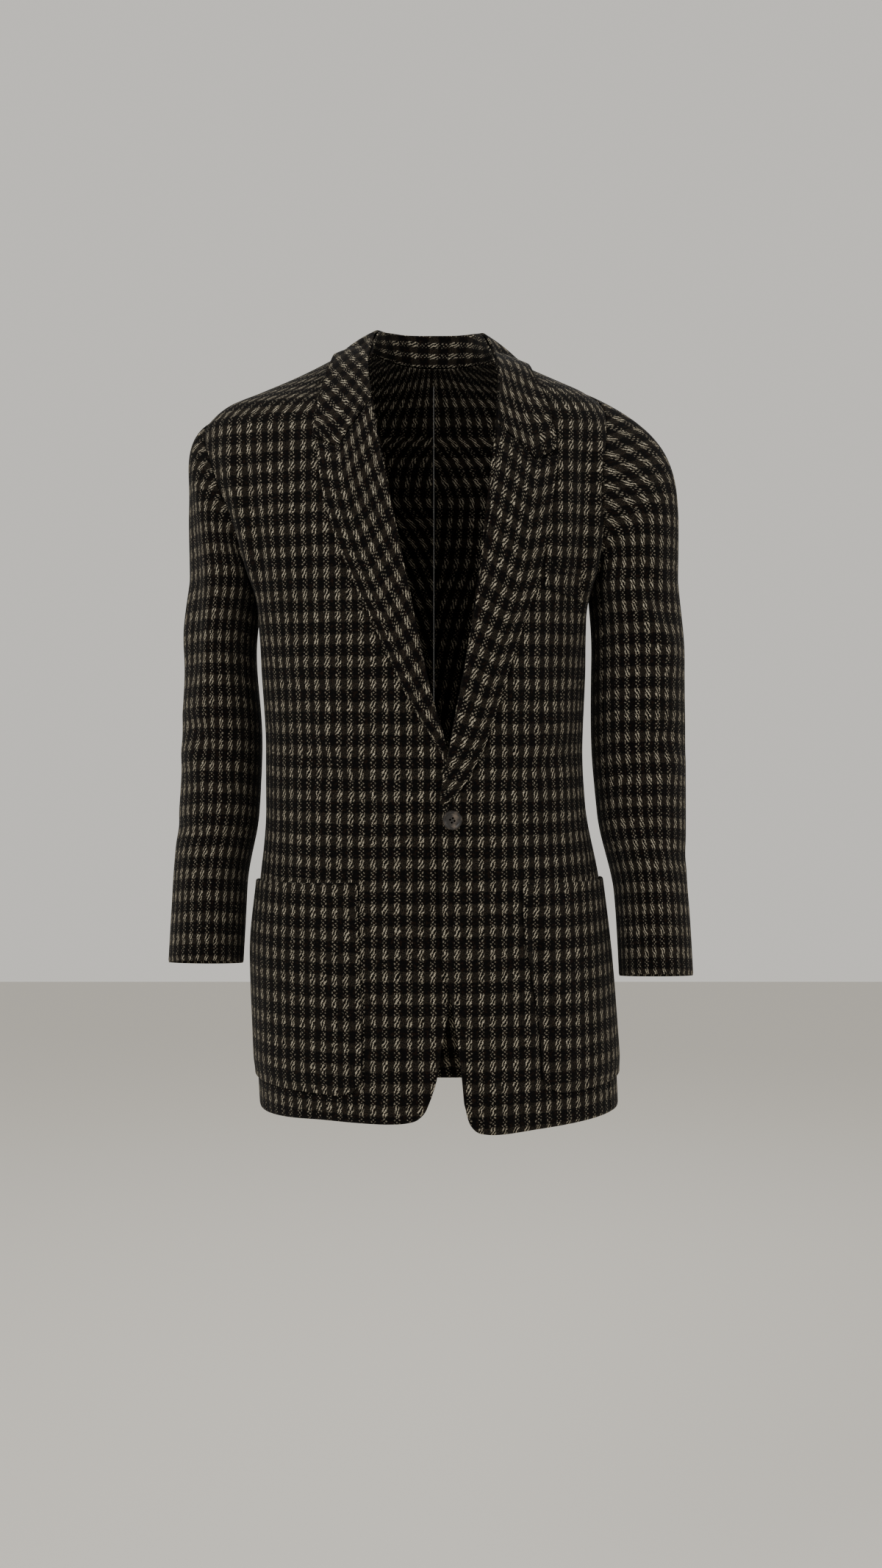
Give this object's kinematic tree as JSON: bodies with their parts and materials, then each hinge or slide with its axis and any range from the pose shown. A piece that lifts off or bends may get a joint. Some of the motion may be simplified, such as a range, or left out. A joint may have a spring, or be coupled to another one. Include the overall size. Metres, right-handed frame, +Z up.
{
  "type": "suit jacket",
  "caption": "Single-breasted tweed suit jacket, worn and hollow, with notch lapels, a breast welt, patch pockets and a front button.",
  "frame": {"origin": "middle of the neck opening, level with the base of the collar, where the wearer's neck and shoulders hold the jacket", "axes": "+Z up, front towards -Y, the wearer's left towards +X"},
  "size_m": [0.553, 0.2645, 0.828],
  "materials": {
    "tweed": "coarse hairy wool tweed in a small check",
    "horn": "polished dark horn"
  },
  "bodies": {
    "root": {"front_right": "tweed", "side_right": "tweed", "back_right": "tweed", "sleeve_upper_right": "tweed", "sleeve_under_right": "tweed", "lapel_right": "tweed", "pocket_right": "tweed", "front_left": "tweed", "side_left": "tweed", "back_left": "tweed", "sleeve_upper_left": "tweed", "sleeve_under_left": "tweed", "lapel_left": "tweed", "pocket_left": "tweed", "collar_leaf": "tweed", "collar_stand": "tweed", "chest_welt": "tweed", "front_button": "horn"}
  },
  "joints": []
}
